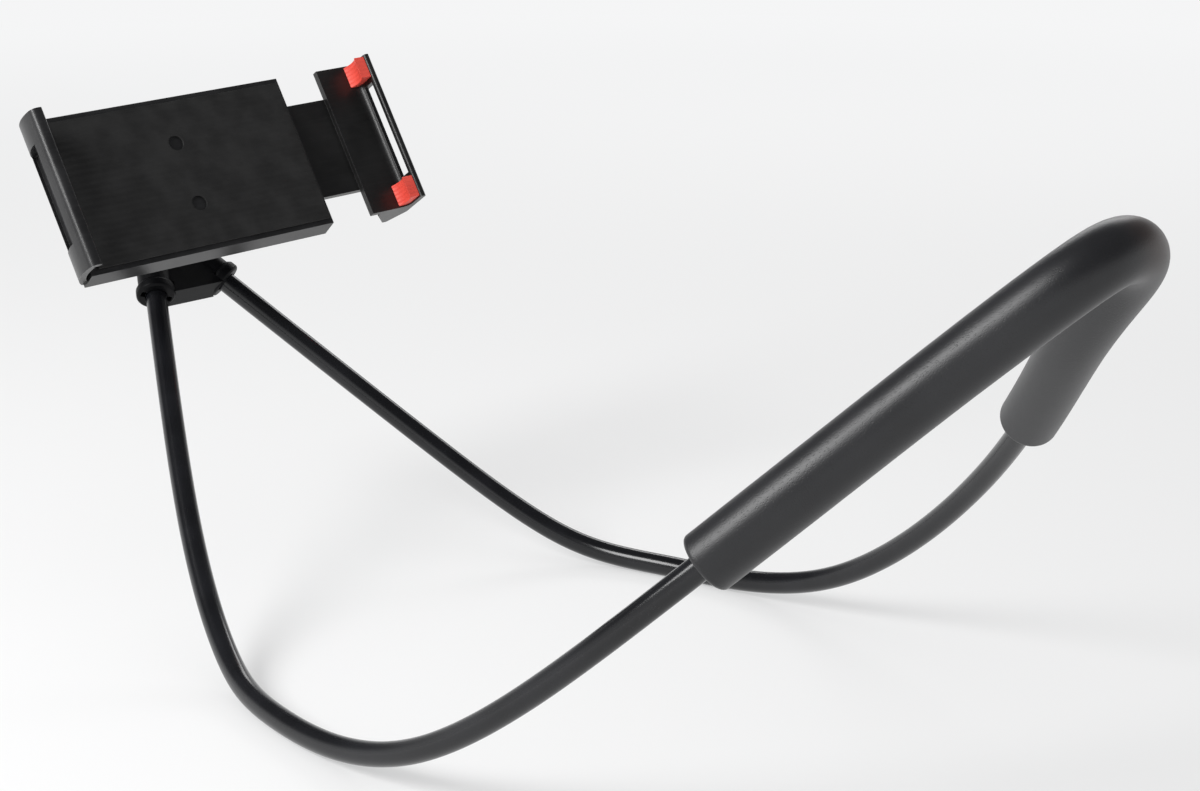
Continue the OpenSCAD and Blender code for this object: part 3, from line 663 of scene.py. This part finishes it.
clamp_plastic = satin("clamp_plastic", grey(0.011, -0.03), grey(0.018, -0.03), 0.26, 0.012)
jaw_plastic = satin("jaw_plastic", grey(0.006), grey(0.011), 0.27, 0.008)
cover_plastic = grained("cover_plastic", grey(0.010), grey(0.016), 0.42, 2400.0)
dress(["clamp_base"], clamp_plastic, 0.35)
dress(["sliding_jaw"], jaw_plastic, 0.35)
dress(["rear_cover", "lock_nut"], cover_plastic, 0.25)

# %% [markdown]
# ## Rubber
#
# The phone rests on a thin black rubber sheet and is gripped by two red corner blocks. Rubber
# scatters light just under its skin, so its colour stays saturated in the shadows, and it is
# never polished. Fine ribs are moulded into both so that glass doesn't slip. They are a regular
# wave across the clamp, far too fine to be worth real geometry.

# %% ribbed rubber
def ribbed(name, dark, light, roughness, rib_scale, depth):
    """A wave of the node is 2 pi / 20 units long, so ribs lie 0.314 / rib_scale metres apart."""
    rubber = Finish(bpy.data.materials.new(name))
    on_clamp = rubber.stretched((1, 1, 1), None, tuple(clamp_middle), clamp_turn)
    ribs = rubber.node("ShaderNodeTexWave", {"wave_type": "BANDS", "bands_direction": "Y"},
                       {"Vector": on_clamp, "Scale": rib_scale, "Distortion": 0.0}, "Fac")
    bloom = rubber.clouds(110.0, 4.0)
    fine = rubber.clouds(2600.0, 2.0)
    wear_and_edge_glint = rubber.edges(0.4 * MILLI)
    tone = rubber.blend(bloom.step(0.3, 0.75), dark, light)
    return rubber.shade({
        # Edges are painted a little paler: partly wear, partly a painted highlight.
        "Base Color": rubber.blend(wear_and_edge_glint * 0.25, tone, brighter(light, 1.5)),
        "Roughness": roughness + 0.14 * bloom,
        "Specular IOR Level": 0.4,
        "Normal": rubber.bumps(ribs, depth * MILLI, rubber.bumps(fine, 0.012 * MILLI)),
    })


red_rubber = ribbed("red_rubber", (0.72, 0.066, 0.045, 1), (0.84, 0.092, 0.064, 1), 0.42,
                    190.0, 0.10)
black_rubber = ribbed("black_rubber", grey(0.010), grey(0.018), 0.55, 120.0, 0.08)
dress(["grip_pad_upper", "grip_pad_lower"], red_rubber, 0.3)
dress(["rest_pad"], black_rubber, 0.2)

# %% [markdown]
# ## Metal
#
# Three metals are in the holder. Screws, nut, washers and the brake leaf are zinc-plated steel,
# bright but slightly milky. The ball stud is turned aluminium, so its marks run in circles round
# its own axis. The rod inside the sheath is drawn steel. Metal has no colour of its own apart
# from its reflections, so the finish lives in the roughness and in very small bumps.

# %% turned and plated metal
def metal(name, dark, light, roughness, marks, turn=(0, 0, 0), middle=(0, 0, 0)):
    """marks are how many lines to a metre lie along the piece's own three directions."""
    made = Finish(bpy.data.materials.new(name))
    tool = made.clouds(1.0, 3.0, made.stretched(marks, None, middle, turn))
    haze = made.clouds(260.0, 4.0)
    wear_and_edge_glint = made.edges(0.25 * MILLI)
    tone = made.blend(haze.step(0.3, 0.7), dark, light)
    return made.shade({
        # Edges are painted brighter: partly wear, partly a painted glint.
        "Base Color": made.blend(wear_and_edge_glint * 0.5, tone, brighter(light, 1.15)),
        "Metallic": 1.0,
        "Roughness": roughness + 0.14 * haze + 0.10 * (tool - 0.5),
        "Normal": made.bumps(tool, 0.006 * MILLI),
    })


stud_axis = Vector((0, -0.669131, 0.743145))
stud_turn = tuple(stud_axis.to_track_quat("Z", "Y").to_euler())
zinc = metal("plated_steel", grey(0.50, 0.01), grey(0.62, -0.01), 0.26, (500, 500, 2400),
             stud_turn)
turned = metal("turned_aluminium", grey(0.66), grey(0.76), 0.22, (20, 20, 5200), stud_turn,
               tuple(ball_middle))
drawn_rod = metal("drawn_rod", grey(0.36, 0.02), grey(0.46, 0.02), 0.35, (900, 900, 900))
dress(["hub_screws", "cover_screws", "stud_washer", "spring_washer", "stud_nut"], zinc, 0.12)
dress(["brake_leaf", "leaf_screw"], zinc, 0.06)
dress(["ball_stud"], turned, 0.15, 40.0)
dress(["gooseneck_core", "rod_ferrule_left", "rod_ferrule_right"], drawn_rod, 0.1, 60.0)
